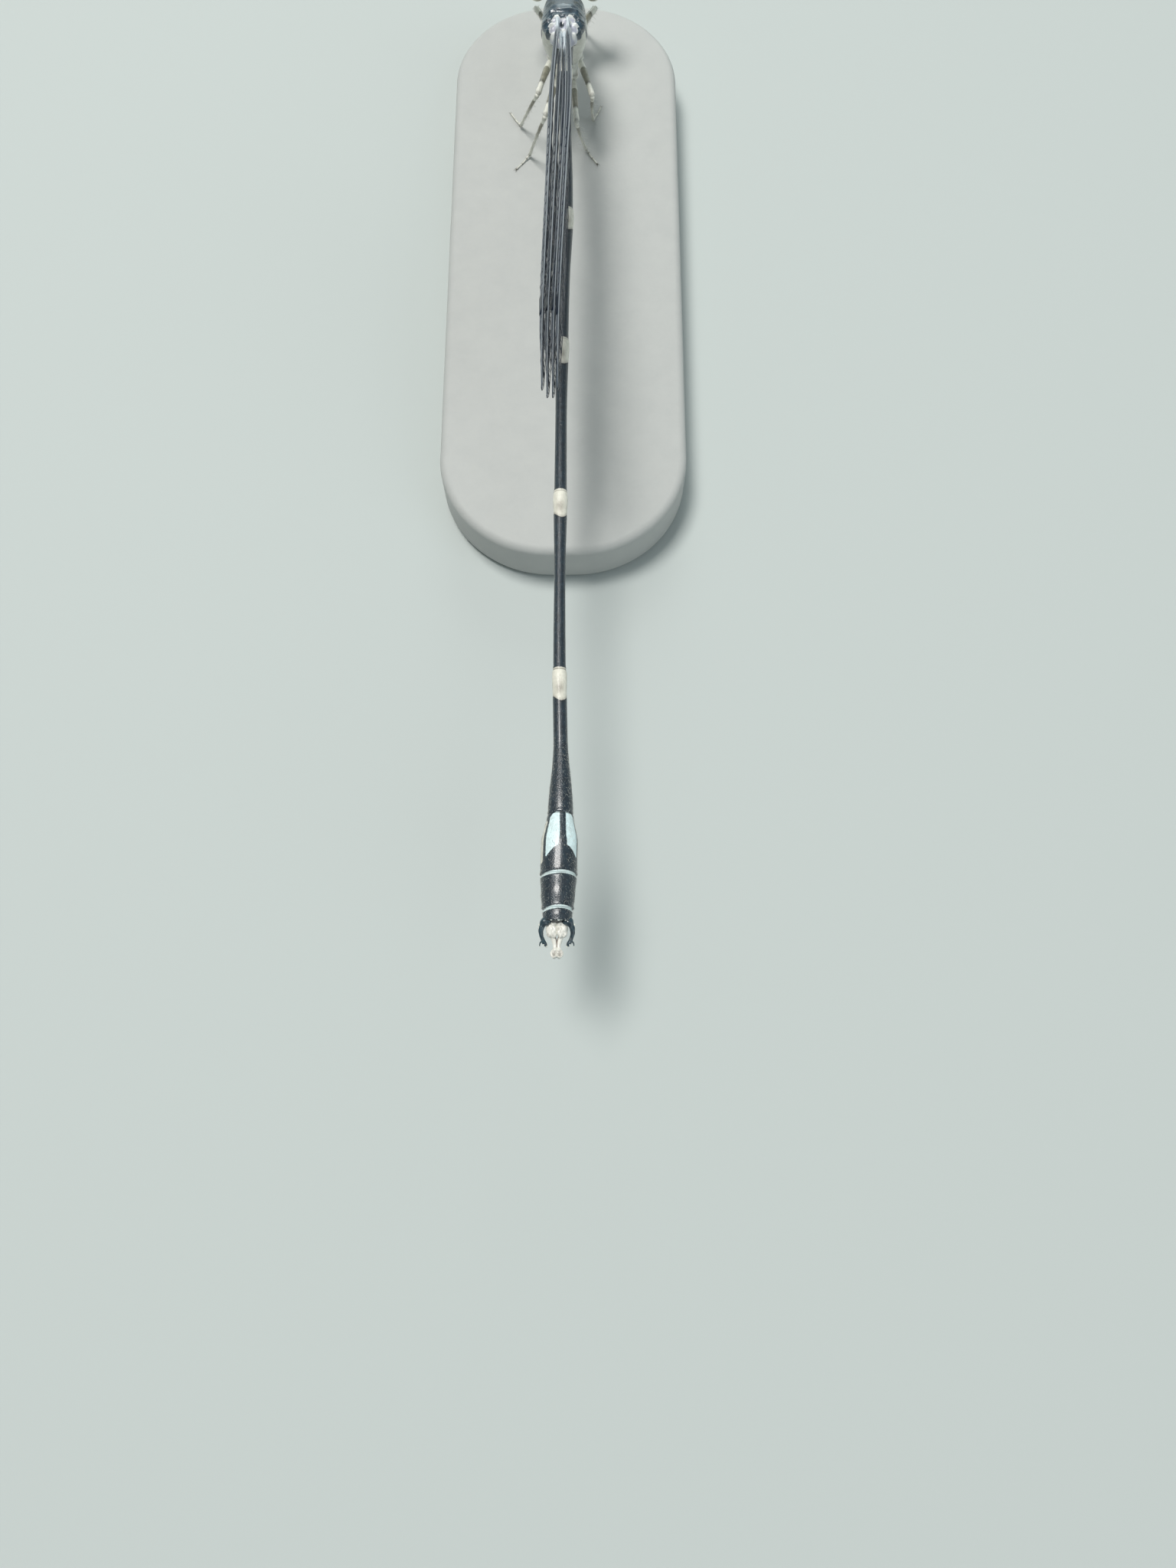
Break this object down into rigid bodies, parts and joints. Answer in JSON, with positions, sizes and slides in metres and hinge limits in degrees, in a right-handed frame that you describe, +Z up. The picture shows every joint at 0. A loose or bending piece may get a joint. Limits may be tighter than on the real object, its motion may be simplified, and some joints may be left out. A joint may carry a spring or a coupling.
{
  "type": "damselfly",
  "caption": "Life-size male shadowdamsel damselfly at rest, wings closed over the back, slender ringed abdomen with claspers, standing on a small flat display base.",
  "frame": {"origin": "centre of the display base's flat underside", "axes": "+Y towards the head, +X to the animal's right, +Z up from the base to the wings"},
  "size_m": [0.012, 0.0544, 0.0133],
  "materials": {
    "shell_dark": "blue-black insect shell, satin gloss with fine grain, pale rings and patches",
    "shell_pale": "cream and grey-brown insect shell of the legs and face, satin",
    "eye": "faceted compound eye, cream outside and olive inside, wet gloss",
    "wing": "clear smoky membrane with dark veins and a dark stigma",
    "feeler": "dark bristle",
    "stand": "pale off-white display base, fine matt grain"
  },
  "bodies": {
    "root": {"abdomen_s01": "shell_dark", "abdomen_s02": "shell_dark", "abdomen_s03": "shell_dark", "abdomen_s04": "shell_dark", "abdomen_s05": "shell_dark", "abdomen_s06": "shell_dark", "abdomen_s07": "shell_dark", "abdomen_s08": "shell_dark", "abdomen_s09": "shell_dark", "abdomen_s10": "shell_dark", "antenna_left": "feeler", "antenna_right": "feeler", "cercus_left": "shell_dark", "cercus_right": "shell_dark", "eye_left": "eye", "eye_right": "eye", "face": "shell_pale", "foreleg_left_coxa": "shell_pale", "foreleg_left_femur": "shell_pale", "foreleg_left_tarsus": "shell_pale", "foreleg_left_tibia": "shell_pale", "foreleg_right_coxa": "shell_pale", "foreleg_right_femur": "shell_pale", "foreleg_right_tarsus": "shell_pale", "foreleg_right_tibia": "shell_pale", "forewing_left": "wing", "forewing_right": "wing", "head": "shell_dark", "hindleg_left_coxa": "shell_pale", "hindleg_left_femur": "shell_pale", "hindleg_left_tarsus": "shell_pale", "hindleg_left_tibia": "shell_pale", "hindleg_right_coxa": "shell_pale", "hindleg_right_femur": "shell_pale", "hindleg_right_tarsus": "shell_pale", "hindleg_right_tibia": "shell_pale", "hindwing_left": "wing", "hindwing_right": "wing", "midleg_left_coxa": "shell_pale", "midleg_left_femur": "shell_pale", "midleg_left_tarsus": "shell_pale", "midleg_left_tibia": "shell_pale", "midleg_right_coxa": "shell_pale", "midleg_right_femur": "shell_pale", "midleg_right_tarsus": "shell_pale", "midleg_right_tibia": "shell_pale", "paraproct_left": "shell_pale", "paraproct_right": "shell_pale", "prothorax": "shell_dark", "stand_base": "stand", "thorax": "shell_dark"}
  },
  "joints": []
}
